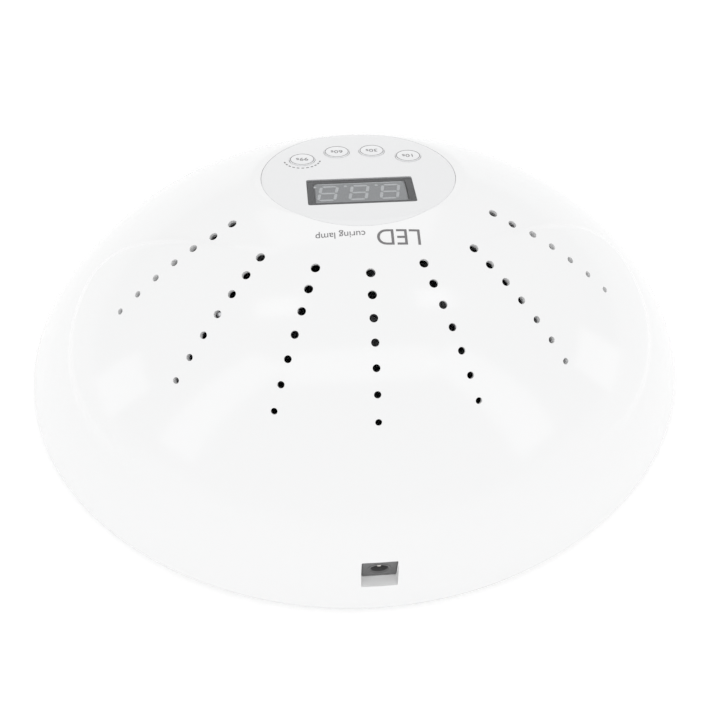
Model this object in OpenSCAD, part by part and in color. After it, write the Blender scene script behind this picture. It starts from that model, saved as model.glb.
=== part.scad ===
/* [Dome] */
// Half width of the dome at its rim
half_w = 118; // [114:1:122]
// Half depth of the dome at its rim
half_d = 92; // [90:1:95]
// Height of the dome's top above the table
top_z = 82; // [82:1:85]
// Height of the dome's rim above the table
rim_z = 3.6; // [3.5:0.1:3.8]
// Wall thickness of the dome
wall = 2.4; // [2.2:0.1:2.6]

/* [Vents] */
// Angle between two rows of vents
vent_step = 20.3; // [19:0.1:21]
// Vents in one row
vent_count = 7; // [4:1:7]
// Distance between two vents of a row
vent_pitch = 6.9; // [6.5:0.1:7.1]
// Radius of a row's innermost vent
vent_r = 1.45; // [1.2:0.05:1.5]

/* [Control panel] */
// Tilt of the panel towards the user
panel_tilt = 28; // [27:1:29]
// Radius of the panel disc
panel_r = 32; // [31.5:0.1:32.2]
// Width of the display window
window_w = 34.6; // [33:0.1:35]
// Radius of a button cap
button_r = 4.3; // [4:0.1:4.3]
// Travel of a button
travel = 0.6; // [0.4:0.1:0.6]

/* [Hand opening] */
// Radius of the arch cut through the dome
arch_r = 97; // [96:1:98]
// Height of that arch above the table
arch_z = 50; // [49.5:0.5:50]

/* [Lamps] */
// Radius of a lamp lens
lens_r = 4; // [3.5:0.1:4.2]
// Clear diameter of the power socket
socket_bore = 5.6; // [5.5:0.1:5.8]

/* [Hidden] */
$fn = 64;
eps = 0.01;
gap = 0.3;
through = 30; // Long enough for a cut to pass right through a wall

// Dome: a spherical cap whose depth is scaled
rise = top_z - rim_z;
socket_at = [0, 83.5, 20];
socket_tilt = 9;
notch_w = 12;
notch_z = [-5.7, 5.7];
notch_wall = 1.2;
vent_centre = -38.3;
vent_first = [47.3, 47.3, 50.3, 47.3];
vent_taper = 0.07;
vent_below = 14;
vent_length = 20;

// Panel frame: u runs to +X, w up the slope, n out of the panel
window_at = [0, -26.8, 72.3];
window_h = window_w / 2;
panel_w = -10.5;
panel_t = 2;
ledge_r = panel_r - 2.6;
ledge_t = 2.2;
ledge_wide = 2;
button_at = [[-18, -23.4], [-6, -28.3], [6, -28.3], [18, -23.4]];
button_up = 0.5;
collar_t = 0.8;
collar_gap = 0.2;
stem_r = 1.5;
board_n = -9.4;
board_t = 1.6;
board_r = 26;
board_front = -32;
switch_w = 6;
switch_top = board_n + 3.6;
plunger_r = 1.7;
stem_n = switch_top + travel + 0.3;
digit_pitch = 10;
digit_h = 10;
digit_w = 5.2;
segment_w = 1.15;
segment_t = 0.15;
digit_slant = 9;
display_w = 30;
display_h = 14.2;
post_at = [[-22, -2], [22, -2], [-10.5, 11], [10.5, 11]];
post_r = 2;
pilot_r = 0.9;

// Reflector: a cap set towards the user, plus a tunnel to the opening
cavity_w = 102;
cavity_d = 78;
cavity_y = -12;
cavity_rise = 51.5;
skin = 1.6;
frame_t = 2.4;
front_y = -61.5;
bezel_t = 2;
tunnel_r = 98;
tunnel_z = 44.4;

// Lamps: rings over the cavity's rear, and arcs over its front
lamp_rings = [[0.34, 5, -14, 194], [0.61, 8, -16, 196], [0.86, 11, -6, 186]];
front_lamps = [[-27, 14], [-47, 32], [-47, 56], [-34, 80]];
star_r = 6;
star_t = 1.2;
sensor_at = [83, -44, 16];
sensor_r = 2.5;
sensor_l = 11;

// Tray, feet and fixings
foot_t = 1.6;
tray_top = 3.4;
foot_r = 6.5;
foot_at = [[86, 42], [74, -54]];
magnet_r = 4;
magnet_h = frame_t - 1;
magnet_at = [[62, 60], [107.8, -14]];
screw_at = [[34, 79], [86, 52.5], [108.5, 18], [101.2, -36]];
screw_r = 1.4;
screw_l = 11;
head_r = 2.6;
head_t = 1.6;
boss_r = 3.1;
boss_z = 20;
mirror_t = 0.4;

// Electronics at the rear
power_y = 68.6;
power_w = 62;
power_z = [8, 30];
socket_w = 11.4;
socket_l = 12;
socket_h = 11;
bore_l = 9;
pin_l = 10.5;
pin_r = 1;
lead_r = 1.1;
lead_bend_r = 1.25;
lead_path = [[22, 64.9, 26.5], [22, 63, 36], [21, 46, 51], [19, 20, 61], [17, -6, 61], [16, -15.6, 60.9]];

function cap_r(w, h) = (w * w + h * h) / (2 * h);
function cap_z(x, y, w, d, h, z0) =
  let (R = cap_r(w, h), r = norm([x, y * w / d])) z0 + h - R + sqrt(R * R - r * r);
function dome_z(x, y) = cap_z(x, y, half_w, half_d, rise, rim_z);

module cap(w, d, h, z0) {
  intersection() {
    translate([0, 0, z0 + h - cap_r(w, h)]) scale([1, d / w, 1]) sphere(r = cap_r(w, h), $fn = 144);
    translate([-w - 1, -d - 1, z0]) cube([2 * w + 2, 2 * d + 2, h + 1]);
  }
}

module dome(inset = 0, z0 = rim_z) {
  intersection() {
    cap(half_w - inset, half_d - inset, rise - inset, rim_z);
    translate([-half_w, -half_d, z0]) cube([2 * half_w, 2 * half_d, top_z]);
  }
}

module ellipse(w, d, z, t) {
  translate([0, 0, z]) scale([1, d / w, 1]) cylinder(r = w, h = t, $fn = 144);
}

module tunnel(r, z, from, to) {
  translate([0, from, z - r]) rotate([-90, 0, 0]) cylinder(r = r, h = to - from, $fn = 96);
}

module cavity(out = 0, from = front_y, z0 = rim_z) {
  intersection() {
    union() {
      translate([0, cavity_y, 0]) cap(cavity_w + out, cavity_d + out, cavity_rise + out, rim_z);
      tunnel(tunnel_r + out, tunnel_z + out, front_y - 10, -10);
    }
    translate([-half_w, from, z0]) cube([2 * half_w, 2 * half_d, top_z]);
  }
}

module on_panel(u = 0, w = 0, n = 0) {
  translate(window_at) rotate([panel_tilt, 0, 0]) translate([u, w, n]) children();
}

module mirrored(points) {
  for (p = points) for (s = [-1, 1]) translate([s * p[0], p[1], 0]) children();
}

module vents() {
  for (row = [-3:3]) for (i = [0:vent_count - 1]) {
    r = vent_first[abs(row)] + vent_pitch * i;
    x = sin(row * vent_step) * r;
    y = vent_centre + cos(row * vent_step) * r;
    translate([x, y, dome_z(x, y) - vent_below]) cylinder(r = vent_r - vent_taper * i, h = vent_length);
  }
}

// Puts its children at the middle of the socket's face, with Y out of it and Z up along it
module on_socket(y = 0) {
  translate(socket_at) rotate([socket_tilt, 0, 0]) translate([0, y, 0]) children();
}

module socket_notch(grow = 0) {
  translate([-notch_w / 2 - grow, -grow, notch_z[0] - grow])
    cube([notch_w + 2 * grow, through, notch_z[1] - notch_z[0] + 2 * grow]);
}

module outer_shell() {
  color("white") difference() {
    union() {
      difference() {
        dome();
        dome(inset = wall, z0 = 0);
        tunnel(arch_r, arch_z, -half_d - 5, -30);
        vents();
      }
      difference() {
        intersection() {
          dome();
          on_panel(w = panel_w, n = -panel_t - ledge_t) cylinder(r = panel_r + ledge_wide, h = ledge_t + 6);
        }
        tunnel(arch_r, arch_z, -half_d - 5, -30);
      }
      intersection() {
        dome(inset = 0.5);
        translate([0, 0, rim_z + frame_t]) mirrored(screw_at) cylinder(r = boss_r, h = boss_z);
      }
      intersection() {
        dome(inset = 0.5);
        on_socket(-3) socket_notch(grow = notch_wall);
      }
    }
    on_panel(w = panel_w, n = -panel_t) cylinder(r = panel_r + 0.1, h = through);
    on_panel(w = panel_w, n = -panel_t - through / 3) cylinder(r = ledge_r, h = through);
    on_socket() socket_notch();
    on_socket() cube([socket_w + 0.2, through, socket_h + 0.2], center = true);
    mirrored(screw_at) cylinder(r = screw_r, h = rim_z + screw_l);
  }
}

module control_panel() {
  color("whitesmoke") difference() {
    union() {
      intersection() {
        on_panel(w = panel_w, n = -panel_t) cylinder(r = panel_r, h = panel_t);
        dome();
      }
      for (p = post_at) on_panel(p[0], p[1], board_n)
        cylinder(r = post_r, h = -board_n - panel_t + eps);
    }
    on_panel(-window_w / 2, -window_h / 2, -5) cube([window_w, window_h, 10]);
    for (b = button_at) on_panel(b[0], b[1], -5) cylinder(r = button_r + gap, h = 10);
    for (p = post_at) on_panel(p[0], p[1], board_n - eps) cylinder(r = pilot_r, h = 5);
  }
}

module window_lens() {
  color([0.25, 0.25, 0.27, 0.6])
    on_panel(-window_w / 2 + 0.05, -window_h / 2 + 0.05, -1.6)
      cube([window_w - 0.1, window_h - 0.1, 1.5]);
}

module display_module() {
  color("dimgray")
    on_panel(-display_w / 2, -display_h / 2, board_n) cube([display_w, display_h, -board_n - 2.2]);
}

module segment(long) {
  tip = segment_w / 2;
  polygon([[-long / 2, 0], [-long / 2 + tip, tip], [long / 2 - tip, tip],
    [long / 2, 0], [long / 2 - tip, -tip], [-long / 2 + tip, -tip]]);
}

module digit() {
  reach = digit_h / 2 - segment_w / 2;
  side = digit_w / 2;
  shear = tan(digit_slant);
  for (v = [-1, 0, 1]) translate([v * reach * shear, v * reach]) segment(digit_w - 0.5);
  for (v = [-1, 1]) for (s = [-1, 1])
    translate([s * side + v * reach / 2 * shear, v * reach / 2])
      rotate(90 - digit_slant) segment(reach - 0.5);
  translate([side + 1.5, -reach]) circle(r = 0.55);
}

module display_segments() {
  color("lightgray") for (i = [-1:1])
    on_panel(i * digit_pitch - 0.6, 0, -2.2) linear_extrude(segment_t) digit();
}

module control_board() {
  color("seagreen") difference() {
    intersection() {
      on_panel(w = panel_w, n = board_n - board_t) cylinder(r = board_r, h = board_t);
      on_panel(-board_r, board_front, board_n - 5) cube([2 * board_r, 2 * board_r, 10]);
    }
    for (p = post_at) on_panel(p[0], p[1], board_n - 5) cylinder(r = 1.2, h = 10);
  }
}

module switch_bodies() {
  color("black") for (b = button_at) difference() {
    on_panel(b[0] - switch_w / 2, b[1] - switch_w / 2, board_n)
      cube([switch_w, switch_w, switch_top - board_n]);
    on_panel(b[0], b[1], switch_top - 2.4) cylinder(r = plunger_r + 0.15, h = 5);
  }
}

module button(i) {
  b = button_at[i];
  collar_n = -panel_t - collar_gap - collar_t;
  color("white") {
    on_panel(b[0], b[1], stem_n) cylinder(r = stem_r, h = -stem_n);
    on_panel(b[0], b[1], collar_n) cylinder(r = button_r, h = button_up - collar_n);
    on_panel(b[0], b[1], collar_n) cylinder(r = button_r + 0.9, h = collar_t);
  }
}

module button_10s() { button(0); }
module button_30s() { button(1); }
module button_60s() { button(2); }
module button_99s() { button(3); }

module plunger(i) {
  b = button_at[i];
  color("gray") on_panel(b[0], b[1], switch_top - 1.6)
    cylinder(r = plunger_r, h = stem_n - switch_top + 1.6);
}

module plunger_10s() { plunger(0); }
module plunger_30s() { plunger(1); }
module plunger_60s() { plunger(2); }
module plunger_99s() { plunger(3); }

module buzzer() {
  color("black") difference() {
    on_panel(0, -16.5, board_n) cylinder(r = 4.2, h = 5);
    on_panel(0, -16.5, board_n + 3.5) cylinder(r = 0.8, h = 5);
  }
}

module board_screws() {
  color("silver") for (p = post_at) {
    on_panel(p[0], p[1], board_n - board_t - 1) cylinder(r = 1.8, h = 1);
    on_panel(p[0], p[1], board_n - board_t - eps) cylinder(r = pilot_r, h = board_t + 4);
  }
}

// Puts its children on the reflector's wall at x, y, with Z along the wall's outward normal
module on_wall(x, y, out = 0) {
  k = cavity_d / cavity_w;
  R = cap_r(cavity_w, cavity_rise);
  z = cap_z(x, y - cavity_y, cavity_w, cavity_d, cavity_rise, rim_z);
  v = [x, (y - cavity_y) / (k * k), z - (rim_z + cavity_rise - R)];
  translate([x, y, z]) rotate([0, acos(v[2] / norm(v)), atan2(v[1], v[0])])
    translate([0, 0, out]) children();
}

// Every lamp's place, on rings over the rear and in mirrored pairs at the front
module at_lamps(out = 0) {
  on_wall(0, cavity_y + 3, out) children();
  for (ring = lamp_rings) for (i = [0:ring[1] - 1]) {
    a = ring[2] + (ring[3] - ring[2]) * i / (ring[1] - 1);
    x = cos(a) * ring[0] * cavity_w;
    y = cavity_y + sin(a) * ring[0] * cavity_d;
    on_wall(x, y, out) children();
  }
  for (p = front_lamps) for (s = [-1, 1]) on_wall(s * p[1], p[0], out) children();
}

module inner_reflector() {
  color("silver") difference() {
    union() {
      cavity(out = skin, z0 = rim_z + frame_t);
      at_lamps(0.2) cylinder(r = star_r, h = skin + 0.6);
    }
    cavity(from = -half_d, z0 = 0);
    at_lamps(-3) cylinder(r = lens_r + 0.1, h = 10);
    for (s = [-1, 1]) sensor_place(s) cylinder(r = sensor_r + 0.05, h = 12, center = true);
  }
}

module lamp_boards() {
  color("gainsboro") at_lamps(skin + 0.8) cylinder(r = star_r, h = star_t);
}

module lamp_emitters() {
  color("gold") at_lamps(skin + 0.8 - 0.7) cylinder(r = 1.6, h = 0.7);
}

module lamp_lenses() {
  color([0.9, 0.92, 1, 0.6]) difference() {
    intersection() {
      at_lamps(-1.4) cylinder(r = lens_r, h = skin + 2.2);
      at_lamps(lens_r - 1.4) sphere(r = lens_r + 0.6);
    }
    at_lamps(skin) cylinder(r = 1.8, h = 2);
  }
}

module sensor_place(s) {
  translate([s * sensor_at[0], sensor_at[1], sensor_at[2]]) rotate([0, s * 90, 0]) children();
}

module sensor(s) {
  sensor_place(s) cylinder(r = sensor_r, h = sensor_l, center = true);
}

module sensor_emitter() { color("black") sensor(-1); }
module sensor_receiver() { color("black") sensor(1); }

module front_bezel() {
  color("white") difference() {
    intersection() {
      dome(inset = wall + 0.2);
      translate([-half_w, front_y - bezel_t, rim_z + frame_t]) cube([2 * half_w, bezel_t, top_z]);
    }
    cavity(from = -half_d, z0 = 0);
    on_panel(w = panel_w, n = -panel_t - ledge_t - gap) cylinder(r = panel_r + ledge_wide + gap, h = through);
  }
}

module power_board() {
  color("seagreen") translate([-power_w / 2, power_y, power_z[0]])
    cube([power_w, board_t, power_z[1] - power_z[0]]);
}

module capacitors() {
  color("navy") for (x = [-24, -15])
    translate([x, power_y + board_t, 14]) rotate([-90, 0, 0]) cylinder(r = 3.9, h = 7);
}

module inductor() {
  color("darkorange") translate([16, power_y + board_t, 20]) rotate([-90, 0, 0])
    difference() {
      cylinder(r = 5, h = 4);
      translate([0, 0, -1]) cylinder(r = 2, h = 6);
    }
}

module driver_chips() {
  color("black") for (x = [-22, -12])
    translate([x - 2.5, power_y + board_t, 21]) cube([5, 1.6, 4]);
}

module board_plugs() {
  color("ivory") {
    translate([18, power_y - 2.4, 24]) cube([8, 2.4, 5]);
    on_panel(12, 2, board_n - board_t - 3) cube([8, 5, 3]);
  }
}

module board_lead() {
  color("dimgray") for (i = [0:len(lead_path) - 2]) {
    a = lead_path[i];
    v = lead_path[i + 1] - a;
    translate(a) sphere(r = lead_bend_r);
    translate(a) rotate([0, acos(v[2] / norm(v)), atan2(v[1], v[0])]) cylinder(r = lead_r, h = norm(v));
  }
}

module power_socket() {
  color("black") on_socket() difference() {
    translate([-socket_w / 2, -socket_l, -socket_h / 2]) cube([socket_w, socket_l - 0.2, socket_h]);
    translate([0, -bore_l, 0]) rotate([-90, 0, 0]) cylinder(r = socket_bore / 2, h = through);
    translate([0, -pin_l, 0]) rotate([-90, 0, 0]) cylinder(r = pin_r, h = through);
  }
}

module socket_pin() {
  color("silver") on_socket(-pin_l) rotate([-90, 0, 0]) cylinder(r = pin_r, h = pin_l - 1);
}

module lower_frame() {
  color("white") difference() {
    union() {
      ellipse(half_w - wall - 1, half_d - wall - 1, rim_z, frame_t);
      translate([0, 0, rim_z]) mirrored(magnet_at) cylinder(r = magnet_r + 1.2, h = frame_t);
    }
    cavity(from = -half_d, z0 = 0);
    translate([-half_w, -half_d, 0]) cube([2 * half_w, half_d + front_y, 20]);
    mirrored(magnet_at) cylinder(r = magnet_r, h = rim_z + magnet_h + 0.2);
    mirrored(screw_at) cylinder(r = screw_r, h = boss_z);
    mirrored(screw_at) cylinder(r = head_r + 0.1, h = rim_z + head_t - 0.4);
  }
}

module frame_screws() {
  color("silver") translate([0, 0, rim_z]) mirrored(screw_at) {
    translate([0, 0, 0.1]) cylinder(r = head_r, h = head_t - 0.5);
    cylinder(r = screw_r, h = screw_l);
  }
}

module frame_magnets() {
  color("silver") translate([0, 0, rim_z + 0.1]) mirrored(magnet_at)
    cylinder(r = magnet_r, h = magnet_h);
}

module base_tray() {
  color("white") difference() {
    ellipse(half_w - 1.5, half_d, foot_t, tray_top - foot_t);
    ellipse(70, 52, tray_top - mirror_t - 0.1, 5);
    mirrored(magnet_at) cylinder(r = magnet_r, h = 10);
  }
}

module tray_mirror() {
  color("lightsteelblue") ellipse(69.8, 51.8, tray_top - mirror_t - 0.1, mirror_t);
}

module tray_plates() {
  color("gray") translate([0, 0, foot_t]) mirrored(magnet_at)
    cylinder(r = magnet_r, h = tray_top - foot_t);
}

module rubber_feet() {
  color("dimgray") mirrored(foot_at) cylinder(r = foot_r, h = foot_t);
}

outer_shell();
control_panel();
window_lens();
display_module();
display_segments();
control_board();
switch_bodies();
buzzer();
board_screws();
button_10s();
button_30s();
button_60s();
button_99s();
plunger_10s();
plunger_30s();
plunger_60s();
plunger_99s();
inner_reflector();
lamp_boards();
lamp_emitters();
lamp_lenses();
front_bezel();
sensor_emitter();
sensor_receiver();
power_board();
capacitors();
inductor();
driver_chips();
board_plugs();
board_lead();
power_socket();
socket_pin();
lower_frame();
frame_screws();
frame_magnets();
base_tray();
tray_mirror();
tray_plates();
rubber_feet();
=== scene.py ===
import bpy
import bmesh
import math
import numpy as np
from mathutils import Matrix, Vector


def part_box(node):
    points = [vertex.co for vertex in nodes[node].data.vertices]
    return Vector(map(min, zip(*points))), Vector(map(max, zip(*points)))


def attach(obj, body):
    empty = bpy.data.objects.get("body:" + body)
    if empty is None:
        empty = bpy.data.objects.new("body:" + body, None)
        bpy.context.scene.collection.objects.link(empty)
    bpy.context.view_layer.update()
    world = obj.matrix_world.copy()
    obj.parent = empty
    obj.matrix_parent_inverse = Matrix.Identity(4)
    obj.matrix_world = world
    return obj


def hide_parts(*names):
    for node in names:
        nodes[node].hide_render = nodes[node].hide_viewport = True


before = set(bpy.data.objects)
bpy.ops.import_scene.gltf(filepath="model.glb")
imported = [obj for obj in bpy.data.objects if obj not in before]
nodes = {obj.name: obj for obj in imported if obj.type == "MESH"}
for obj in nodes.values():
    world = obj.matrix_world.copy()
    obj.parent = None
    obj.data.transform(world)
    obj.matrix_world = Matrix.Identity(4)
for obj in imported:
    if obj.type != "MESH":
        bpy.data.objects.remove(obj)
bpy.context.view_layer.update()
mm = 0.001


# Camera: above and behind the lamp, looking down on the vents, with the socket nearest.
# A slight roll tips the picture clockwise.
view_azimuth = math.radians(171.26)
view_elevation = math.radians(64.66)
view_roll = math.radians(5.10)
view_distance = 391.3 * mm
view_target = Vector((-0.57, -0.54, 0)) * mm
sensor_width = 36
view_lens = 52.44

view_back = Vector((math.sin(view_azimuth) * math.cos(view_elevation),
                    -math.cos(view_azimuth) * math.cos(view_elevation),
                    math.sin(view_elevation)))
level_right = Vector((0, 0, 1)).cross(view_back).normalized()
level_up = view_back.cross(level_right)
view_right = math.cos(view_roll) * level_right + math.sin(view_roll) * level_up
view_up = math.cos(view_roll) * level_up - math.sin(view_roll) * level_right
camera_data = bpy.data.cameras.new("view_camera")
camera_data.lens = view_lens
camera_data.sensor_width = sensor_width
camera_data.clip_start = 0.01
camera = bpy.data.objects.new("view_camera", camera_data)
camera.matrix_world = Matrix.Translation(view_target + view_back * view_distance) @ Matrix(
    (view_right, view_up, view_back)).transposed().to_4x4()
bpy.context.scene.collection.objects.link(camera)
bpy.context.scene.camera = camera


# Dome: one moulding of glossy white ABS, 2.4 mm thick. Its rear stands a little proud of the brim
# along a soft crease. The panel's seat, the vents, the socket notch and the hand arch are moulded in it.
dome_low, dome_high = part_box("outer_shell")
dome_w = dome_high.x
dome_d = dome_high.y
dome_rim = dome_low.z
dome_rise = dome_high.z - dome_rim
dome_wall = 2.4 * mm
dome_turns = 360
dome_rings = 160
lining_rings = 40
crease_w = 97.5 * mm
crease_d = 66 * mm
crease_y = 8 * mm
crease_front = Vector((50, -10)) * mm
crease_slope = -0.406
crease_corner = 12 * mm
crease_step = 1.3 * mm
crease_soft = 3.2 * mm
crease_sides_from = 22 * mm
crease_sides_fade = 48 * mm
crease_back_from = 30 * mm
crease_back_fade = 32 * mm
rim_levels = ((0.25 * mm, 0.08 * mm), (0.7 * mm, 0), (1.8 * mm, 0))
rim_inside_up = 0.15 * mm
panel_tilt = math.radians(28)
window_at = Vector((0, -26.8, 72.3)) * mm
panel_drop = -10.5 * mm
panel_r = 32 * mm
panel_seam = 0.04 * mm
seat_bevel = 4 * mm
seat_deep = 12 * mm
cut_reach = 50 * mm
vent_step = math.radians(20.3)
vent_rows = range(-3, 4)
vent_count = 7
vent_pitch = 6.9 * mm
vent_centre = -38.3 * mm
vent_first = [47.3 * mm, 47.3 * mm, 50.3 * mm, 47.3 * mm]
vent_r = 1.45 * mm
vent_taper = 0.07 * mm
vent_levels = ((-0.6, -5), (-0.6, -0.7), (0, -0.7), (0, 3))
arch_r = 97 * mm
arch_z = 50 * mm
arch_back = -30 * mm
arch_reach = 100 * mm
socket_at = Vector((0, 83.5, 20)) * mm
socket_tilt = math.radians(9)
notch_w = 12 * mm
notch_low = -5.7 * mm
notch_high = 5.7 * mm
notch_wall = 1.2 * mm
notch_behind = 3 * mm
notch_corner = 0.4 * mm
housing_steps = 9
housing_aim = 40 * mm
housing_under = 0.8 * mm
socket_hole_w = 11.6 * mm
socket_hole_h = 11.2 * mm
socket_hole_corner = 0.3 * mm
socket_hole_deep = 20 * mm


def ease(t):
    """A smooth step from 0 to 1."""
    t = np.clip(t, 0, 1)
    return t * t * (3 - 2 * t)


def cap_radius(w, h):
    """Radius of the ball that a cap of half width w and height h is cut from."""
    return (w * w + h * h) / (2 * h)


def cap_height(x, y, w, d, h):
    """Height of a cap standing on the rim, squashed front to back from half width w to half depth d."""
    r = cap_radius(w, h)
    return dome_rim + h - r + np.sqrt(np.maximum(r * r - x * x - (y * w / d) ** 2, 0))


def crease_inside(x, y):
    """Distance inside the crease: an ellipse at the sides, a slanted line at the front, joined softly."""
    side = (1 - np.hypot(x / crease_w, (y - crease_y) / crease_d)) * crease_d
    front = (y - crease_front.y - crease_slope * (np.abs(x) - crease_front.x)) / math.hypot(1, crease_slope)
    mix = np.clip(0.5 + 0.5 * (front - side) / crease_corner, 0, 1)
    return front * (1 - mix) + side * mix - crease_corner * mix * (1 - mix)


def crease_lift(x, y):
    """How far the rear stands out of the plain cap: nothing behind the panel or near the socket."""
    sides = ease((np.abs(x) - crease_sides_from) / crease_sides_fade)
    back = 1 - ease((y - crease_back_from) / crease_back_fade)
    return crease_step * sides * back * ease(crease_inside(x, y) / crease_soft + 0.5)


def panel_place(u=0, w=0, n=0):
    """A point or a move from the panel's own frame, with u to +X, w up the slope and n out of it."""
    return Matrix.Translation(window_at) @ Matrix.Rotation(panel_tilt, 4, "X") @ Matrix.Translation((u, w, n))


def panel_seat(x, y, z):
    """The dome eased down to the panel's plane around its edge, and left alone where it is lower."""
    plane = window_at.z + math.tan(panel_tilt) * (y - window_at.y)
    w = (y - window_at.y) / math.cos(panel_tilt) - panel_drop
    away = (np.hypot(x, w) - panel_r) / seat_bevel
    return np.where(z > plane, plane + (z - plane) * ease(away), z)


def dome_surface(x, y):
    """Height of the dome's outside with the panel's seat in it."""
    return panel_seat(x, y, cap_height(x, y, dome_w, dome_d, dome_rise))


def revolved(rows, turns):
    """A closed mesh from rings of the same number of points, with a point at its first and last row."""
    verts = [rows[0]] + [p for ring in rows[1:-1] for p in ring] + [rows[-1]]
    faces = [(0, 1 + j, 1 + (j + 1) % turns) for j in range(turns)]
    for i in range(len(rows) - 3):
        a = 1 + i * turns
        b = a + turns
        faces += [(a + j, b + j, b + (j + 1) % turns, a + (j + 1) % turns) for j in range(turns)]
    a = 1 + (len(rows) - 3) * turns
    faces += [(a + (j + 1) % turns, a + j, len(verts) - 1) for j in range(turns)]
    return verts, faces


def new_piece(name, verts, faces):
    """An object at the origin with its shape in its mesh."""
    mesh = bpy.data.meshes.new(name)
    mesh.from_pydata([tuple(v) for v in verts], [], faces)
    mesh.update()
    piece = bpy.data.objects.new(name, mesh)
    bpy.context.scene.collection.objects.link(piece)
    return piece


def dome_rows():
    """Rings down the outside, round the rim and up the inside."""
    angles = np.arange(dome_turns) * 2 * math.pi / dome_turns
    ball = cap_radius(dome_w, dome_rise)
    squash = dome_d / dome_w
    widest = math.asin(dome_w / ball)
    rows = [(0, 0, float(dome_surface(0, 0)))]
    for i in range(1, dome_rings + 1):
        r = ball * math.sin(widest * i / dome_rings)
        x = r * np.cos(angles)
        y = r * squash * np.sin(angles)
        z = dome_surface(x, y)
        lift = crease_lift(x, y)
        x = x + lift * x / ball
        y = y + lift * y / squash ** 2 / ball
        z = z + lift * math.sqrt(1 - (r / ball) ** 2)
        rows.append(list(zip(x, y, z)))
    for inset, up in rim_levels:
        w = dome_w - inset
        d = dome_d - inset
        rows.append([(w * math.cos(a), d * math.sin(a), dome_rim + up) for a in angles])
    inner_w = dome_w - dome_wall
    inner_d = dome_d - dome_wall
    inner_rise = dome_rise - dome_wall
    inner_ball = cap_radius(inner_w, inner_rise)
    for i in range(lining_rings, 0, -1):
        r = inner_ball * math.sin(math.asin(inner_w / inner_ball) * i / lining_rings)
        x = r * np.cos(angles)
        y = r * inner_d / inner_w * np.sin(angles)
        z = cap_height(x, y, inner_w, inner_d, inner_rise) + (rim_inside_up if i == lining_rings else 0)
        rows.append(list(zip(x, y, z)))
    rows.append((0, 0, dome_rim + inner_rise))
    return rows


def oval_outline(w, d, turns=240):
    """Outline of an ellipse, drawn in by an inset."""
    step = 2 * math.pi / turns
    return lambda inset: [((w - inset) * math.cos(j * step), (d - inset) * math.sin(j * step))
                          for j in range(turns)]


def round_outline(r, turns=48):
    """Outline of a circle, drawn in by an inset."""
    return oval_outline(r, r, turns)


def slab_outline(w, h, corner, steps=6, sharpest=0.02 * mm):
    """Outline of a rectangle with rounded corners, drawn in by an inset."""
    def outline(inset):
        r = max(corner - inset, sharpest)
        points = []
        for quarter, (sx, sy) in enumerate(((1, 1), (-1, 1), (-1, -1), (1, -1))):
            for j in range(steps + 1):
                a = (quarter + j / steps) * math.pi / 2
                x = sx * (w / 2 - inset - r) + r * math.cos(a)
                y = sy * (h / 2 - inset - r) + r * math.sin(a)
                points.append((x, y))
        return points
    return outline


def stacked(outline, levels, place=Matrix()):
    """A closed solid from an outline, drawn in by each level's inset at its height, from the bottom up."""
    rings = [[place @ Vector((x, y, z)) for x, y in outline(inset)] for inset, z in levels]
    turns = len(rings[0])
    verts = [p for ring in rings for p in ring]
    faces = [tuple(range(turns - 1, -1, -1)), tuple(range(len(verts) - turns, len(verts)))]
    for a in range(0, len(verts) - turns, turns):
        b = a + turns
        faces += [(a + j, a + (j + 1) % turns, b + (j + 1) % turns, b + j) for j in range(turns)]
    return verts, faces


def joined(name, shapes):
    """One piece from several closed shapes."""
    verts = []
    faces = []
    for more_verts, more_faces in shapes:
        faces += [tuple(i + len(verts) for i in f) for f in more_faces]
        verts += more_verts
    return new_piece(name, verts, faces)


def settle(piece):
    """Turns a piece and its modifiers into a plain mesh."""
    bpy.context.view_layer.update()
    plain = bpy.data.meshes.new_from_object(piece.evaluated_get(bpy.context.evaluated_depsgraph_get()))
    piece.modifiers.clear()
    piece.data = plain


def carve(piece, tool, operation="DIFFERENCE"):
    """Cuts another mesh out of a piece, or joins it on, and drops the other."""
    cut = piece.modifiers.new("carve", "BOOLEAN")
    cut.operation = operation
    cut.solver = "MANIFOLD"
    cut.object = tool
    settle(piece)
    bpy.data.objects.remove(tool)


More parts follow.
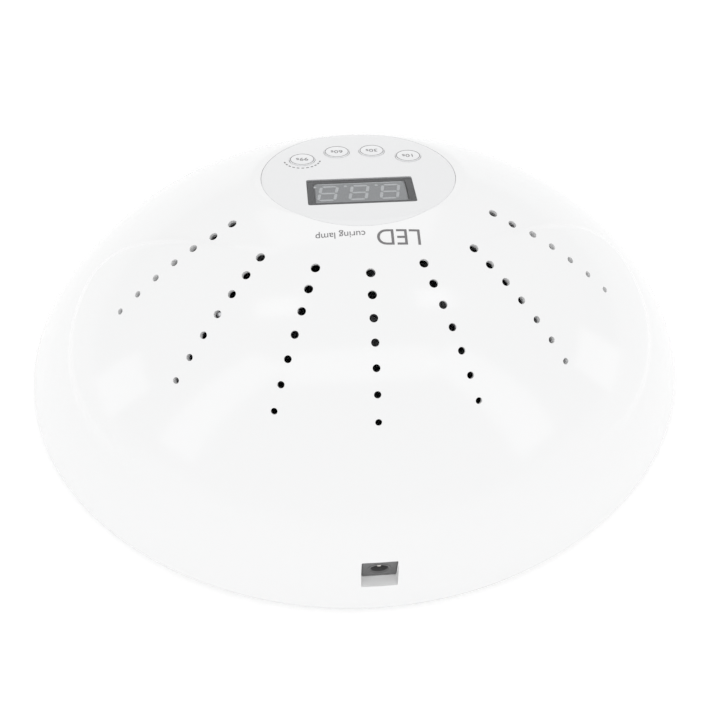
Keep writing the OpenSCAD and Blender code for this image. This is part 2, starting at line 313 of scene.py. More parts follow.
def repeated(name, template, places, material, spin=0, seed=7):
    """Geometry Nodes: a template on every place (point, facing, size), turned at random about its facing."""
    points = new_piece(name, [p for p, facing, size in places], [])
    ways = points.data.attributes.new("facing", "FLOAT_VECTOR", "POINT")
    ways.data.foreach_set("vector", [v for p, facing, size in places for v in facing])
    sizes = points.data.attributes.new("size", "FLOAT", "POINT")
    sizes.data.foreach_set("value", [size for p, facing, size in places])
    tree = bpy.data.node_groups.new(name + "_nodes", "GeometryNodeTree")
    sockets = {}
    for label, kind in (("Points", "Geometry"), ("Template", "Object"), ("Material", "Material"),
                        ("Spin", "Vector"), ("Seed", "Int")):
        sockets[label] = tree.interface.new_socket(label, in_out="INPUT", socket_type="NodeSocket" + kind)
    tree.interface.new_socket("Pieces", in_out="OUTPUT", socket_type="NodeSocketGeometry")
    given = tree.nodes.new("NodeGroupInput")
    made = tree.nodes.new("NodeGroupOutput")
    info = tree.nodes.new("GeometryNodeObjectInfo")
    facing = tree.nodes.new("GeometryNodeInputNamedAttribute")
    facing.data_type = "FLOAT_VECTOR"
    facing.inputs["Name"].default_value = "facing"
    size = tree.nodes.new("GeometryNodeInputNamedAttribute")
    size.data_type = "FLOAT"
    size.inputs["Name"].default_value = "size"
    align = tree.nodes.new("FunctionNodeAlignRotationToVector")
    align.axis = "Z"
    chance = tree.nodes.new("FunctionNodeRandomValue")
    chance.data_type = "FLOAT_VECTOR"
    flip = tree.nodes.new("ShaderNodeVectorMath")
    flip.operation = "SCALE"
    flip.inputs["Scale"].default_value = -1
    angle = tree.nodes.new("FunctionNodeEulerToRotation")
    turn = tree.nodes.new("FunctionNodeRotateRotation")
    turn.rotation_space = "LOCAL"
    scatter = tree.nodes.new("GeometryNodeInstanceOnPoints")
    real = tree.nodes.new("GeometryNodeRealizeInstances")
    dress = tree.nodes.new("GeometryNodeSetMaterial")
    wires = [(given.outputs["Points"], scatter.inputs["Points"]),
             (given.outputs["Template"], info.inputs["Object"]),
             (info.outputs["Geometry"], scatter.inputs["Instance"]),
             (facing.outputs["Attribute"], align.inputs["Vector"]),
             (given.outputs["Spin"], flip.inputs[0]), (flip.outputs[0], chance.inputs["Min"]),
             (given.outputs["Spin"], chance.inputs["Max"]), (given.outputs["Seed"], chance.inputs["Seed"]),
             (chance.outputs["Value"], angle.inputs[0]), (align.outputs[0], turn.inputs[0]),
             (angle.outputs[0], turn.inputs[1]), (turn.outputs[0], scatter.inputs["Rotation"]),
             (size.outputs["Attribute"], scatter.inputs["Scale"]),
             (scatter.outputs["Instances"], real.inputs[0]), (real.outputs[0], dress.inputs["Geometry"]),
             (given.outputs["Material"], dress.inputs["Material"]), (dress.outputs[0], made.inputs["Pieces"])]
    for out_socket, in_socket in wires:
        tree.links.new(out_socket, in_socket)
    grow = points.modifiers.new(name, "NODES")
    grow.node_group = tree
    for label, value in (("Template", template), ("Material", material),
                         ("Spin", (0, 0, spin)), ("Seed", seed)):
        grow[sockets[label].identifier] = value
    settle(points)
    bpy.data.objects.remove(template)
    return points


def vent_places():
    """A point on the dome at each vent, the way straight out of the dome there, and the vent's radius."""
    ball = cap_radius(dome_w, dome_rise)
    for row in vent_rows:
        for i in range(vent_count):
            r = vent_first[abs(row)] + vent_pitch * i
            x = math.sin(row * vent_step) * r
            y = vent_centre + math.cos(row * vent_step) * r
            z = float(dome_surface(x, y))
            out = Vector((x, y * (dome_w / dome_d) ** 2, z - dome_rim - dome_rise + ball)).normalized()
            yield (x, y, z), out, vent_r - vent_taper * i


def finish_surface(piece, material, sharp=35):
    """Smooth shading with crisp edges above an angle, and one material."""
    piece.data.shade_smooth()
    piece.data.set_sharp_from_angle(angle=math.radians(sharp))
    piece.data.materials.clear()
    piece.data.materials.append(material)


def paint(name, tones, gloss, metal=0, drift=9, grain=420, depth=0.02, ior=1.5):
    """A node material: its colour and its roughness drift between two values over a fine grain."""
    mat = bpy.data.materials.new(name)
    mat.use_nodes = True
    tree = mat.node_tree
    surface = tree.nodes["Principled BSDF"]
    place = tree.nodes.new("ShaderNodeTexCoord")
    cloud = tree.nodes.new("ShaderNodeTexNoise")
    cloud.inputs["Scale"].default_value = drift
    cloud.inputs["Detail"].default_value = 3
    tint = tree.nodes.new("ShaderNodeMix")
    tint.data_type = "RGBA"
    tint.inputs[6].default_value = (*tones[0], 1)
    tint.inputs[7].default_value = (*tones[1], 1)
    rough = tree.nodes.new("ShaderNodeMapRange")
    rough.inputs["To Min"].default_value = gloss[0]
    rough.inputs["To Max"].default_value = gloss[1]
    peel = tree.nodes.new("ShaderNodeTexNoise")
    peel.inputs["Scale"].default_value = grain
    peel.inputs["Detail"].default_value = 2
    bump = tree.nodes.new("ShaderNodeBump")
    bump.inputs["Strength"].default_value = depth
    bump.inputs["Distance"].default_value = 0.2 * mm
    for out_socket, in_socket in (
            (place.outputs["Object"], cloud.inputs["Vector"]),
            (place.outputs["Object"], peel.inputs["Vector"]),
            (cloud.outputs["Fac"], tint.inputs[0]),
            (tint.outputs[2], surface.inputs["Base Color"]),
            (cloud.outputs["Fac"], rough.inputs["Value"]),
            (rough.outputs["Result"], surface.inputs["Roughness"]),
            (peel.outputs["Fac"], bump.inputs["Height"]),
            (bump.outputs["Normal"], surface.inputs["Normal"])):
        tree.links.new(out_socket, in_socket)
    surface.inputs["Metallic"].default_value = metal
    surface.inputs["IOR"].default_value = ior
    return mat


def notch_housing():
    """The walls round the notch: a block from behind its back wall to just under the dome's outside."""
    inward = notch_place.to_3x3() @ Vector((0, 0, -1))
    wide = notch_w / 2 + notch_wall
    tall = (notch_high - notch_low) / 2 + notch_wall
    back = []
    front = []
    for y in np.linspace(-tall, tall, housing_steps):
        for x in np.linspace(-wide, wide, housing_steps):
            hit = shell.ray_cast(notch_place @ Vector((x, y, housing_aim)), inward)[1]
            front.append(notch_place @ Vector((x, y, (notch_place.inverted() @ hit).z - housing_under)))
            back.append(notch_place @ Vector((x, y, -notch_behind - notch_wall)))
    count = len(back)
    last = housing_steps - 1
    faces = []
    for j in range(last):
        for i in range(last):
            a = j * housing_steps + i
            quad = (a, a + 1, a + housing_steps + 1, a + housing_steps)
            faces += [tuple(count + k for k in quad), quad[::-1]]
    edge = [i for i in range(last)]
    edge += [i * housing_steps + last for i in range(last)]
    edge += [count - 1 - i for i in range(last)]
    edge += [(last - i) * housing_steps for i in range(last)]
    faces += [(a, b, count + b, count + a) for a, b in zip(edge, edge[1:] + edge[:1])]
    return new_piece("socket_housing", back + front, faces)


shell_white = paint("white_abs", ((0.845, 0.848, 0.852), (0.865, 0.866, 0.866)), (0.10, 0.17), ior=1.53)
shell = new_piece("dome_shell", *revolved(dome_rows(), dome_turns))
socket_face = Matrix.Translation(socket_at) @ Matrix.Rotation(socket_tilt - math.pi / 2, 4, "X")
notch_place = socket_face @ Matrix.Translation((0, -(notch_low + notch_high) / 2, 0))
bpy.context.view_layer.update()
carve(shell, notch_housing(), "UNION")
vent_tool = new_piece("vent_tool", *stacked(round_outline(1, 24), vent_levels))
carve(shell, repeated("vent_cutters", vent_tool, list(vent_places()), shell_white))
panel_cut = stacked(round_outline(panel_r + panel_seam, 180), ((0, 0), (0, cut_reach)),
                    panel_place(0, panel_drop, -seat_deep))
arch_place = Matrix.Translation((0, arch_back, arch_z - arch_r)) @ Matrix.Rotation(-math.pi / 2, 4, "X")
arch_cut = stacked(round_outline(arch_r, 240), ((0, -arch_reach), (0, 0)), arch_place)
carve(shell, joined("dome_cutters", [panel_cut, arch_cut]))
notch_cut = stacked(slab_outline(notch_w, notch_high - notch_low, notch_corner), ((0, 0), (0, cut_reach)),
                    notch_place)
carve(shell, joined("notch_cutter", [notch_cut]))
socket_cut = stacked(slab_outline(socket_hole_w, socket_hole_h, socket_hole_corner),
                     ((0, -socket_hole_deep), (0, 10 * mm)), socket_face)
carve(shell, joined("socket_cutter", [socket_cut]))
finish_surface(shell, shell_white)
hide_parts("outer_shell")
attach(shell, "lamp")


# Control panel: a round satin grey fascia, 2 mm thick, pressed flush into its seat in the dome.
# The window opening and the four button holes are cut through it, and its edge is slightly rounded.
fascia_r = 31.98 * mm
fascia_thick = 2 * mm
fascia_edge = 0.25 * mm
fascia_turns = 180
fascia_rings = 28
seat_tries = 8
hole_reach = 5 * mm
window_w = 34.6 * mm
window_h = 17.3 * mm
window_corner = 0.8 * mm
button_r = 4.3 * mm
button_gap = 0.12 * mm
button_hole = ((0, -hole_reach), (0, -0.15 * mm), (-0.1 * mm, 0.01 * mm), (-0.1 * mm, 2 * mm))
button_names = ["10s", "30s", "60s", "99s"]
button_places = [Vector(p) * mm for p in ((-18, -23.4), (-6, -28.3), (6, -28.3), (18, -23.4))]


def panel_level(u, w):
    """The panel's face at u, w: its plane, or the dome where that is lower."""
    n = np.zeros_like(u)
    for _ in range(seat_tries):
        y = window_at.y + w * math.cos(panel_tilt) - n * math.sin(panel_tilt)
        z = window_at.z + w * math.sin(panel_tilt) + n * math.cos(panel_tilt)
        n = n - (z - cap_height(u, y, dome_w, dome_d, dome_rise)) * math.cos(panel_tilt)
    return np.minimum(n, 0)


def fascia_ring(r, fall=0, flat=None):
    """A ring of points on the panel's face, lowered by a fall, or all at one flat level."""
    angles = np.arange(fascia_turns) * 2 * math.pi / fascia_turns
    u = r * np.cos(angles)
    w = panel_drop + r * np.sin(angles)
    n = panel_level(u, w) - fall if flat is None else np.full(fascia_turns, flat)
    return [panel_place() @ Vector(p) for p in zip(u, w, n)]


face_rings = [fascia_ring((fascia_r - fascia_edge) * i / fascia_rings) for i in range(1, fascia_rings + 1)]
edge_rings = [fascia_ring(fascia_r - fascia_edge * (1 - math.sin(a)), fascia_edge * (1 - math.cos(a)))
              for a in (math.pi / 6, math.pi / 3, math.pi / 2)]
fascia_rows = [panel_place() @ Vector((0, panel_drop, 0))] + face_rings + edge_rings + [
    fascia_ring(fascia_r, flat=-fascia_thick), panel_place() @ Vector((0, panel_drop, -fascia_thick))]
fascia = new_piece("panel_fascia", *revolved(fascia_rows, fascia_turns))
holes = [stacked(slab_outline(window_w, window_h, window_corner), ((0, -hole_reach), (0, hole_reach)),
                 panel_place())]
for at in button_places:
    holes.append(stacked(round_outline(button_r + button_gap, 64), button_hole, panel_place(at.x, at.y)))
carve(fascia, joined("fascia_holes", holes))
panel_grey = paint("panel_grey", ((0.785, 0.788, 0.795), (0.80, 0.803, 0.808)), (0.22, 0.30),
                   grain=900, depth=0.04)
finish_surface(fascia, panel_grey, 28)
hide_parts("control_panel")
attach(fascia, "lamp")


# Printing: warm grey screen-printed ink on the panel and the dome, a few hundredths thick.
# Short dashes curve round the 99 s button, and a plain caption stands behind the panel.
ink_thick = 0.03 * mm
ink_sunk = 0.01 * mm
ink_clear = 0.04 * mm
dash_r = 6.1 * mm
dash_w = 0.5 * mm
dash_l = 0.95 * mm
dash_corner = 0.15 * mm
dash_count = 11
dash_first = 15
dash_sweep = 150
caption_rows = (("LED", 8.2 * mm, -9.6 * mm, -3.4 * mm), ("curing lamp", 3.3 * mm, 8.2 * mm, -4.6 * mm))


def lettering(words, height, place=None, fold=None):
    """Raised lettering centred on a place, or folded point by point onto a surface."""
    curve = bpy.data.curves.new(words, "FONT")
    curve.body = words
    curve.size = height
    curve.align_x = "CENTER"
    curve.align_y = "CENTER"
    curve.extrude = ink_thick / 2
    curve.resolution_u = 6
    holder = bpy.data.objects.new(words, curve)
    bpy.context.scene.collection.objects.link(holder)
    bpy.context.view_layer.update()
    mesh = bpy.data.meshes.new_from_object(holder.evaluated_get(bpy.context.evaluated_depsgraph_get()))
    bpy.data.objects.remove(holder)
    form = bmesh.new()
    form.from_mesh(mesh)
    bmesh.ops.remove_doubles(form, verts=form.verts, dist=1e-7)
    if fold:
        bmesh.ops.triangulate(form, faces=form.faces)
        bmesh.ops.subdivide_edges(form, edges=form.edges, cuts=2, use_grid_fill=True)
    for v in form.verts:
        v.co = place @ v.co if fold is None else fold(v.co)
    verts = [v.co.copy() for v in form.verts]
    form.verts.index_update()
    faces = [tuple(v.index for v in f.verts) for f in form.faces]
    form.free()
    bpy.data.meshes.remove(mesh)
    return verts, faces


def dome_fold(x, y):
    """Folds lettering onto the dome, with its middle at x, y."""
    return lambda p: Vector((x + p.x, y + p.y, float(dome_surface(x + p.x, y + p.y)) + ink_clear + p.z))


def ring_plate(outer, inner, low, high, place):
    """A closed flat frame between two outlines of the same number of points."""
    loops = [(outer, low), (outer, high), (inner, high), (inner, low)]
    rings = [[place @ Vector((x, y, z)) for x, y in outline(0)] for outline, z in loops]
    turns = len(rings[0])
    verts = [p for ring in rings for p in ring]
    faces = []
    for i in range(len(rings)):
        a = i * turns
        b = (i + 1) % len(rings) * turns
        faces += [(a + j, a + (j + 1) % turns, b + (j + 1) % turns, b + j) for j in range(turns)]
    return verts, faces


ink_grey = paint("ink_grey", ((0.16, 0.155, 0.16), (0.20, 0.195, 0.20)), (0.35, 0.5), grain=1500, depth=0.05)
dash_form = slab_outline(dash_w, dash_l, dash_corner, 2)
dash_middle = panel_place(button_places[3].x, button_places[3].y)
dash_shapes = []
for i in range(dash_count):
    a = math.radians(dash_first + dash_sweep * i / (dash_count - 1))
    place = dash_middle @ Matrix.Rotation(a, 4, "Z") @ Matrix.Translation((dash_r, 0, 0))
    dash_shapes.append(stacked(dash_form, ((0, -ink_sunk), (0, ink_thick)), place))
dashes = joined("panel_print", dash_shapes)
finish_surface(dashes, ink_grey)
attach(dashes, "lamp")
captions = [lettering(words, height, fold=dome_fold(x, y)) for words, height, x, y in caption_rows]
caption = joined("dome_print", captions)
finish_surface(caption, ink_grey)
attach(caption, "lamp")


# Buttons: four round satin white keys, almost flush with the panel, with a rounded edge. Each has a thin
# printed ring and its seconds, and a collar under the panel holds it in.
button_up = 0.3 * mm
collar_low = -3 * mm
collar_high = -2.2 * mm
collar_wide = 0.9 * mm
stem_low = -4.9 * mm
stem_inset = 2.8 * mm
button_levels = ((stem_inset, stem_low), (stem_inset, collar_low), (-collar_wide, collar_low),
                 (-collar_wide, collar_high), (0, collar_high), (0, 0.12 * mm), (0.03 * mm, 0.22 * mm),
                 (0.09 * mm, 0.28 * mm), (0.16 * mm, button_up), (2.8 * mm, button_up))
label_thick = 0.02 * mm
label_level = button_up + label_thick
label_h = 3.1 * mm
ring_r = 3.84 * mm
ring_wide = 0.24 * mm
button_white = paint("button_white", ((0.80, 0.805, 0.815), (0.82, 0.825, 0.83)), (0.20, 0.28),
                     grain=1200, depth=0.03)
for label, at in zip(button_names, button_places):
    key = new_piece("key_" + label, *stacked(
        round_outline(button_r, 72), button_levels, panel_place(at.x, at.y)))
    finish_surface(key, button_white, 40)
    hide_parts("button_" + label)
    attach(key, "button_" + label)
    circle = ring_plate(round_outline(ring_r + ring_wide, 72), round_outline(ring_r, 72),
                        button_up - label_thick, label_level, panel_place(at.x, at.y))
    words = lettering(label, label_h, panel_place(at.x, at.y, label_level))
    mark = joined("key_print_" + label, [circle, words])
    finish_surface(mark, ink_grey)
    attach(mark, "button_" + label)


# Window: a clear smoked acrylic sheet with bevelled edges, let into the panel. A dark border is
# printed on its back.
lens_low = -0.45 * mm
lens_high = -0.03 * mm
lens_bevel = 0.15 * mm
lens_gap = 0.1 * mm
border_w = 30.2 * mm
border_h = 13.2 * mm
border_low = lens_low - 0.1 * mm
border_high = lens_low - 0.02 * mm


def glass(name, tint, haze, ripple=900):
    """Clear plastic: it lets tinted light straight through and mirrors more at a slant."""
    mat = bpy.data.materials.new(name)
    mat.use_nodes = True
    tree = mat.node_tree
    tree.nodes.remove(tree.nodes["Principled BSDF"])
    out = tree.nodes["Material Output"]
    place = tree.nodes.new("ShaderNodeTexCoord")
    cloud = tree.nodes.new("ShaderNodeTexNoise")
    cloud.inputs["Scale"].default_value = 40
    shade = tree.nodes.new("ShaderNodeMix")
    shade.data_type = "RGBA"
    shade.inputs[6].default_value = (*[c * 0.97 for c in tint], 1)
    shade.inputs[7].default_value = (*tint, 1)
    through = tree.nodes.new("ShaderNodeBsdfTransparent")
    shine = tree.nodes.new("ShaderNodeBsdfGlossy")
    shine.inputs["Roughness"].default_value = haze
    wave = tree.nodes.new("ShaderNodeTexNoise")
    wave.inputs["Scale"].default_value = ripple
    bump = tree.nodes.new("ShaderNodeBump")
    bump.inputs["Strength"].default_value = 0.01
    bump.inputs["Distance"].default_value = 0.1 * mm
    slant = tree.nodes.new("ShaderNodeFresnel")
    slant.inputs["IOR"].default_value = 1.49
    side = tree.nodes.new("ShaderNodeNewGeometry")
    front = tree.nodes.new("ShaderNodeMath")
    front.operation = "SUBTRACT"
    front.inputs[0].default_value = 1
    outer = tree.nodes.new("ShaderNodeMath")
    outer.operation = "MULTIPLY"
    blend = tree.nodes.new("ShaderNodeMixShader")
    for out_socket, in_socket in (
            (place.outputs["Object"], cloud.inputs["Vector"]),
            (place.outputs["Object"], wave.inputs["Vector"]),
            (cloud.outputs["Fac"], shade.inputs[0]),
            (shade.outputs[2], through.inputs["Color"]),
            (wave.outputs["Fac"], bump.inputs["Height"]),
            (bump.outputs["Normal"], shine.inputs["Normal"]),
            (side.outputs["Backfacing"], front.inputs[1]),
            (front.outputs[0], outer.inputs[0]),
            (slant.outputs[0], outer.inputs[1]),
            (outer.outputs[0], blend.inputs[0]),
            (through.outputs[0], blend.inputs[1]),
            (shine.outputs[0], blend.inputs[2]),
            (blend.outputs[0], out.inputs["Surface"])):
        tree.links.new(out_socket, in_socket)
    return mat


window_form = slab_outline(window_w - lens_gap, window_h - lens_gap, window_corner)
window = new_piece("window_sheet", *stacked(window_form, (
    (0, lens_low), (0, lens_high - lens_bevel), (lens_bevel, lens_high)), panel_place()))
finish_surface(window, glass("smoked_window", (0.86, 0.865, 0.87), 0.04), 25)
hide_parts("window_lens")
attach(window, "lamp")
border = joined("window_border", [ring_plate(
    window_form, slab_outline(border_w, border_h, window_corner), border_low, border_high, panel_place())])
border_ink = paint("border_ink", ((0.075, 0.075, 0.078), (0.095, 0.095, 0.098)), (0.3, 0.42),
                   grain=1500, depth=0.05)
finish_surface(border, border_ink)
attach(border, "lamp")


# Display: a grey moulded module behind the window with three slanted, unlit digits. Each digit has
# seven pale bars and a point, let into the module's face, and a thin lip runs along the lower edge.
module_w = 30 * mm
module_h = 14.2 * mm
module_low = -9.4 * mm
module_high = -0.7 * mm
module_corner = 0.6 * mm
module_edge = 0.4 * mm
lip_w = 28 * mm
lip_h = 0.45 * mm
lip_corner = 0.1 * mm
lip_at = -6.1 * mm
digit_shift = Vector((0.6, 0.2)) * mm
digit_pitch = 10 * mm
digit_w = 5.2 * mm
digit_h = 10 * mm
digit_slant = math.radians(9)
bar_w = 0.95 * mm
bar_gap = 0.5 * mm
bar_levels = ((0, -0.05 * mm), (0, 0.12 * mm))
point_r = 0.55 * mm
point_aside = 1.5 * mm


def digit_bar(long):
    """Outline of a bar with pointed ends."""
    tip = bar_w / 2
    end = long / 2
    return lambda inset: [(-end, 0), (-end + tip, -tip), (end - tip, -tip),
                          (end, 0), (end - tip, tip), (-end + tip, tip)]


module = new_piece("display_body", *stacked(slab_outline(module_w, module_h, module_corner), (
    (0, module_low), (0, module_high - module_edge), (module_edge, module_high)), panel_place()))
module_grey = paint("display_body", ((0.42, 0.425, 0.43), (0.47, 0.475, 0.48)), (0.35, 0.5),
                    grain=1100, depth=0.12)
finish_surface(module, module_grey)
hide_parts("display_module")
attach(module, "lamp")

digit_bars = []
for i in (-1, 0, 1):
    middle = i * digit_pitch + digit_shift.x
    reach = digit_h / 2 - bar_w / 2
    spots = [(0, side * reach, 0, digit_w - bar_gap) for side in (-1, 0, 1)]
    spots += [(side * digit_w / 2, up * reach / 2, math.pi / 2 - digit_slant, reach - bar_gap)
              for side in (-1, 1) for up in (-1, 1)]
    for u, w, turn, long in spots:
        place = panel_place(middle + u + w * math.tan(digit_slant), w + digit_shift.y, module_high)
        digit_bars.append(stacked(digit_bar(long), bar_levels, place @ Matrix.Rotation(turn, 4, "Z")))
    point_at = panel_place(middle + digit_w / 2 + point_aside, digit_shift.y - reach, module_high)
    digit_bars.append(stacked(round_outline(point_r, 24), bar_levels, point_at))
digit_bars.append(stacked(slab_outline(lip_w, lip_h, lip_corner, 2), bar_levels,
                          panel_place(0, lip_at, module_high)))
digits = joined("display_bars", digit_bars)
segment_white = paint("segment_white", ((0.80, 0.81, 0.82), (0.86, 0.865, 0.87)), (0.3, 0.45),
                      grain=1500, depth=0.05)
finish_surface(digits, segment_white)
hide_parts("display_segments")
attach(digits, "lamp")


# Power socket: a black moulded barrel socket let into the notch, with a chamfered bore, a raised rim
# and a nickel centre pin with a rounded tip.
socket_w = 11.4 * mm
socket_h = 11 * mm
socket_deep = 12 * mm
socket_set = 0.2 * mm
bore_r = 2.8 * mm
bore_deep = 9 * mm
rim_r = 3.9 * mm
pin_r = 1.0 * mm
pin_deep = 10.5 * mm
socket_corner = 0.5 * mm
socket_levels = ((0.3 * mm, -socket_deep + socket_set), (0, -socket_deep + 0.5 * mm), (0, -0.3 * mm),
                 (0.25 * mm, 0))
rim_stand = ((0, -1 * mm), (0, 0.05 * mm), (0.12 * mm, 0.17 * mm))
bore_levels = ((0, -bore_deep + socket_set), (0, -0.35 * mm), (-0.5 * mm, 0.2 * mm), (-0.5 * mm, 2 * mm))
pin_levels = ((0, -pin_deep + socket_set), (0, -1.5 * mm), (0.12 * mm, -1.2 * mm), (0.4 * mm, -0.95 * mm),
              (0.75 * mm, -0.85 * mm))
socket_black = paint("black_plastic", ((0.095, 0.095, 0.097), (0.13, 0.13, 0.132)), (0.32, 0.46),
                     grain=1300, depth=0.12)
socket_front = socket_face @ Matrix.Translation((0, 0, -socket_set))
socket = new_piece("socket_body", *stacked(
    slab_outline(socket_w, socket_h, socket_corner), socket_levels, socket_front))
rim = new_piece("socket_rim", *stacked(round_outline(rim_r, 64), rim_stand, socket_front))
carve(socket, rim, "UNION")
carve(socket, new_piece("socket_bore", *stacked(round_outline(bore_r, 64), bore_levels, socket_front)))
finish_surface(socket, socket_black)
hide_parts("power_socket")
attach(socket, "lamp")
nickel = paint("nickel", ((0.62, 0.60, 0.56), (0.70, 0.68, 0.64)), (0.14, 0.24),
               metal=1, grain=1500, depth=0.04)
pin = new_piece("socket_centre_pin", *stacked(round_outline(pin_r, 32), pin_levels, socket_front))
finish_surface(pin, nickel, 50)
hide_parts("socket_pin")
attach(pin, "lamp")


# Lamps: 33 clear domed lenses set through the metallised reflector, on rings over the back and in
# pairs at the front, each in front of a yellow emitter on its own small board.
cavity_w = 102 * mm
cavity_d = 78 * mm
cavity_y = -12 * mm
cavity_rise = 51.5 * mm
lamp_rings = ((0.34, 5, -14, 194), (0.61, 8, -16, 196), (0.86, 11, -6, 186))
front_lamps = ((-27, 14), (-47, 32), (-47, 56), (-34, 80))
lens_r = 4 * mm
lens_levels = ((3.1, -1.4), (2.2, -1.38), (1.3, -1.2), (0.6, -0.8), (0.2, -0.3), (0.06, 0.2),
               (0.06, 2.1), (0.3, 2.35))
lens_turns = 40
crown_lamp = 3 * mm


def lamp_places():
    """Each lamp's point on the reflector's inside, the way out through its wall, and its size."""
    spots = [(0, cavity_y + crown_lamp)]
    for reach, count, first, last in lamp_rings:
        for i in range(count):
            a = math.radians(first + (last - first) * i / (count - 1))
            spots.append((math.cos(a) * reach * cavity_w, cavity_y + math.sin(a) * reach * cavity_d))
    spots += [(side * x * mm, y * mm) for y, x in front_lamps for side in (-1, 1)]
    ball = cap_radius(cavity_w, cavity_rise)
    for x, y in spots:
        z = float(cap_height(x, y - cavity_y, cavity_w, cavity_d, cavity_rise))
        out = Vector((x, (y - cavity_y) * (cavity_w / cavity_d) ** 2, z - dome_rim - cavity_rise + ball))
        yield (x, y, z), out.normalized(), 1


lens_form = new_piece("lens_form", *stacked(
    round_outline(lens_r, lens_turns), [(inset * mm, z * mm) for inset, z in lens_levels]))
lens_clear = glass("lens_clear", (0.93, 0.94, 0.97), 0.05)
lenses = repeated("lamp_lens_set", lens_form, list(lamp_places()), lens_clear)
lenses.data.shade_smooth()
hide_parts("lamp_lenses")
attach(lenses, "lamp")


# Frame screws: eight zinc-plated pan-head screws with a cross recess, driven up through the flat
# frame into the dome's bosses. Each stands turned its own way.
screw_places = [(34, 79), (86, 52.5), (108.5, 18), (101.2, -36)]
head_r = 2.6 * mm
screw_r = 1.4 * mm
screw_l = 11 * mm
screw_z = 3.6 * mm
screw_point = 0.8 * mm
shank_in = head_r - screw_r
head_low = -1.1 * mm
screw_levels = ((shank_in + 0.5 * mm, -screw_l), (shank_in, -screw_l + screw_point), (shank_in, head_low),
                (0, head_low), (0, -0.6 * mm), (0.25 * mm, -0.3 * mm), (0.8 * mm, -0.13 * mm),
                (1.6 * mm, -0.1 * mm))
cross_l = 2.6 * mm
cross_w = 0.55 * mm
cross_corner = 0.05 * mm
cross_levels = ((0.12 * mm, -0.85 * mm), (0, 0.2 * mm))
screw = new_piece("screw_form", *stacked(round_outline(head_r, 40), screw_levels))
for w, h in ((cross_l, cross_w), (cross_w, cross_l)):
    carve(screw, new_piece("screw_cross", *stacked(slab_outline(w, h, cross_corner, 2), cross_levels)))
steel = paint("steel", ((0.42, 0.42, 0.43), (0.52, 0.52, 0.53)), (0.24, 0.38),
              metal=1, grain=1400, depth=0.06)
screw_spots = [((side * x * mm, y * mm, screw_z), (0, 0, -1), 1) for x, y in screw_places for side in (-1, 1)]
screws = repeated("frame_screw_set", screw, screw_spots, steel, spin=math.pi)
finish_surface(screws, steel)
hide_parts("frame_screws")
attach(screws, "lamp")


# Base tray: a thin white lift-off plate under the lamp with a rounded edge. It has a shallow pocket for
# its mirror sheet and steel discs for the magnets, and stands on four grey rubber feet.
tray_low, tray_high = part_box("base_tray")
tray_w = tray_high.x
tray_d = tray_high.y
tray_edge = 0.5 * mm
tray_round = 0.15 * mm
tray_levels = ((tray_edge, tray_low.z), (tray_round, tray_low.z + tray_round), (0, tray_low.z + tray_edge),
               (0, tray_high.z - tray_edge), (tray_round, tray_high.z - tray_round), (tray_edge, tray_high.z))
pocket_w = 70 * mm
pocket_d = 52 * mm
pocket_z = 2.9 * mm
plate_r = 4 * mm
plate_places = [(62, 60), (107.8, -14)]
foot_r = 6.5 * mm
foot_h = 1.6 * mm
foot_places = [(86, 42), (74, -54)]
foot_levels = ((5.0 * mm, 0.3 * mm), (4.2 * mm, 0.28 * mm), (4.0 * mm, 0), (0.4 * mm, 0),
               (0.1 * mm, 0.12 * mm), (0, 0.4 * mm), (0, foot_h))


tray = new_piece("tray_plate", *stacked(oval_outline(tray_w, tray_d), tray_levels))
cuts = [stacked(oval_outline(pocket_w, pocket_d), ((0, pocket_z), (0, 10 * mm)))]
cuts += [stacked(round_outline(plate_r, 48), ((0, 0), (0, 10 * mm)),
                 Matrix.Translation((side * x * mm, y * mm, 0)))
         for x, y in plate_places for side in (-1, 1)]
carve(tray, joined("tray_cuts", cuts))
finish_surface(tray, shell_white)
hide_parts("base_tray")
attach(tray, "tray")
foot = new_piece("foot_form", *stacked(round_outline(foot_r, 56), foot_levels))
rubber = paint("rubber_grey", ((0.045, 0.045, 0.047), (0.065, 0.065, 0.067)), (0.6, 0.78),
               grain=1200, depth=0.25)
foot_spots = [((side * x * mm, y * mm, 0), (0, 0, 1), 1) for x, y in foot_places for side in (-1, 1)]
feet = repeated("foot_set", foot, foot_spots, rubber)
finish_surface(feet, rubber)
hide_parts("rubber_feet")
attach(feet, "tray")


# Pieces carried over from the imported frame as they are: the reflector, bezel and flat frame, the
# fixings, and the boards and wiring sealed inside. Each gets its own surface.
mirror_plastic = paint("mirror_plastic", ((0.80, 0.81, 0.83), (0.87, 0.88, 0.90)), (0.06, 0.14),
                       metal=1, drift=30, grain=500)
mirror_sheet = paint("mirror_sheet", ((0.76, 0.79, 0.82), (0.84, 0.86, 0.88)), (0.10, 0.2), metal=1, drift=25)
circuit_green = paint("circuit_green", ((0.01, 0.09, 0.035), (0.015, 0.13, 0.05)), (0.28, 0.42),
                      drift=200, depth=0.1)
aluminium = paint("aluminium", ((0.74, 0.75, 0.76), (0.80, 0.81, 0.82)), (0.3, 0.45), metal=0.3)
lamp_die = paint("lamp_die", ((0.72, 0.52, 0.10), (0.82, 0.62, 0.18)), (0.35, 0.5), drift=400)
lens_dark = paint("lens_dark", ((0.012, 0.008, 0.014), (0.022, 0.014, 0.026)), (0.08, 0.18))
copper = paint("copper", ((0.50, 0.20, 0.07), (0.62, 0.27, 0.11)), (0.25, 0.4), metal=1, drift=300)
sleeve_navy = paint("sleeve_navy", ((0.006, 0.01, 0.05), (0.012, 0.018, 0.08)), (0.25, 0.4))
ivory_plastic = paint("ivory_plastic", ((0.66, 0.61, 0.48), (0.72, 0.67, 0.55)), (0.35, 0.5))
lead_grey = paint("lead_grey", ((0.03, 0.03, 0.032), (0.045, 0.045, 0.048)), (0.45, 0.6))
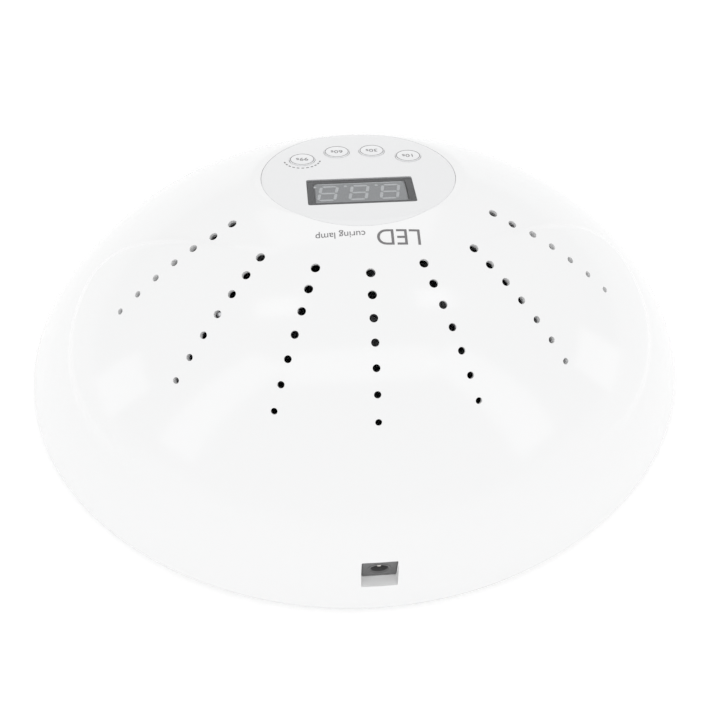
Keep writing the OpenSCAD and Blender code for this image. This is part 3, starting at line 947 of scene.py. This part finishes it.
carried = (
    (shell_white, ("front_bezel", "lower_frame")),
    (mirror_plastic, ("inner_reflector",)),
    (mirror_sheet, ("tray_mirror",)),
    (circuit_green, ("control_board", "power_board")),
    (socket_black, ("switch_bodies", "buzzer", "driver_chips",
                    "plunger_10s", "plunger_30s", "plunger_60s", "plunger_99s")),
    (steel, ("board_screws", "tray_plates")),
    (nickel, ("frame_magnets",)),
    (aluminium, ("lamp_boards",)),
    (lamp_die, ("lamp_emitters",)),
    (lens_dark, ("sensor_emitter", "sensor_receiver")),
    (copper, ("inductor",)),
    (sleeve_navy, ("capacitors",)),
    (ivory_plastic, ("board_plugs",)),
    (lead_grey, ("board_lead",)),
)
for material, names in carried:
    for name in names:
        piece = nodes[name]
        piece.data.materials.clear()
        piece.data.materials.append(material)


# Stage: a plain white floor that glows slightly, a white room and soft boxes round the lamp.
floor_reach = 3
floor_glow = 0.12
room_light = 0.92
floor_corners = [(x * floor_reach, y * floor_reach, 0) for x, y in ((-1, -1), (1, -1), (1, 1), (-1, 1))]
floor = new_piece("floor", floor_corners, [(0, 1, 2, 3)])
floor_white = bpy.data.materials.new("floor_white")
floor_white.use_nodes = True
floor_surface = floor_white.node_tree.nodes["Principled BSDF"]
floor_surface.inputs["Base Color"].default_value = (0.95, 0.95, 0.95, 1)
floor_surface.inputs["Roughness"].default_value = 0.9
floor_surface.inputs["Emission Color"].default_value = (1, 1, 1, 1)
floor_surface.inputs["Emission Strength"].default_value = floor_glow
floor.data.materials.append(floor_white)

room = bpy.data.worlds.new("studio")
room.use_nodes = True
room_surface = room.node_tree.nodes["Background"]
room_surface.inputs["Color"].default_value = (1, 1, 1, 1)
room_surface.inputs["Strength"].default_value = room_light
bpy.context.scene.world = room
bpy.context.scene.view_settings.view_transform = "Standard"


def soft_box(name, place, aim, width, height, power):
    """A rectangular light at a place, facing its aim, in metres and watts."""
    light = bpy.data.lights.new(name, "AREA")
    light.shape = "RECTANGLE"
    light.size = width
    light.size_y = height
    light.energy = power
    box = bpy.data.objects.new(name, light)
    box.location = place
    box.rotation_euler = (Vector(aim) - Vector(place)).to_track_quat("-Z", "Y").to_euler()
    bpy.context.scene.collection.objects.link(box)


soft_box("soft_box_rear", (0, 0.51, 1.0), (0, 0.02, 0.07), 0.9, 0.28, 0.55)
soft_box("soft_box_left", (0.78, 0.62, 0.62), (0.05, 0.04, 0.06), 0.26, 1.1, 0.65)
soft_box("soft_box_right", (-0.74, 0.66, 0.62), (-0.04, 0.04, 0.06), 0.26, 1.1, 0.65)
soft_box("fill_front", (0, -0.9, 0.8), (0, -0.02, 0.06), 1.0, 0.6, 0.9)
for side in (-1, 1):
    soft_box("top_patch", (side * 0.42, -0.05, 1.0), (0, 0, 0.07), 0.16, 0.2, 0.1)
    soft_box("side_patch", (side * 1.0, 0.1, 0.17), (side * 0.08, 0.03, 0.05), 0.3, 0.35, 0.22)
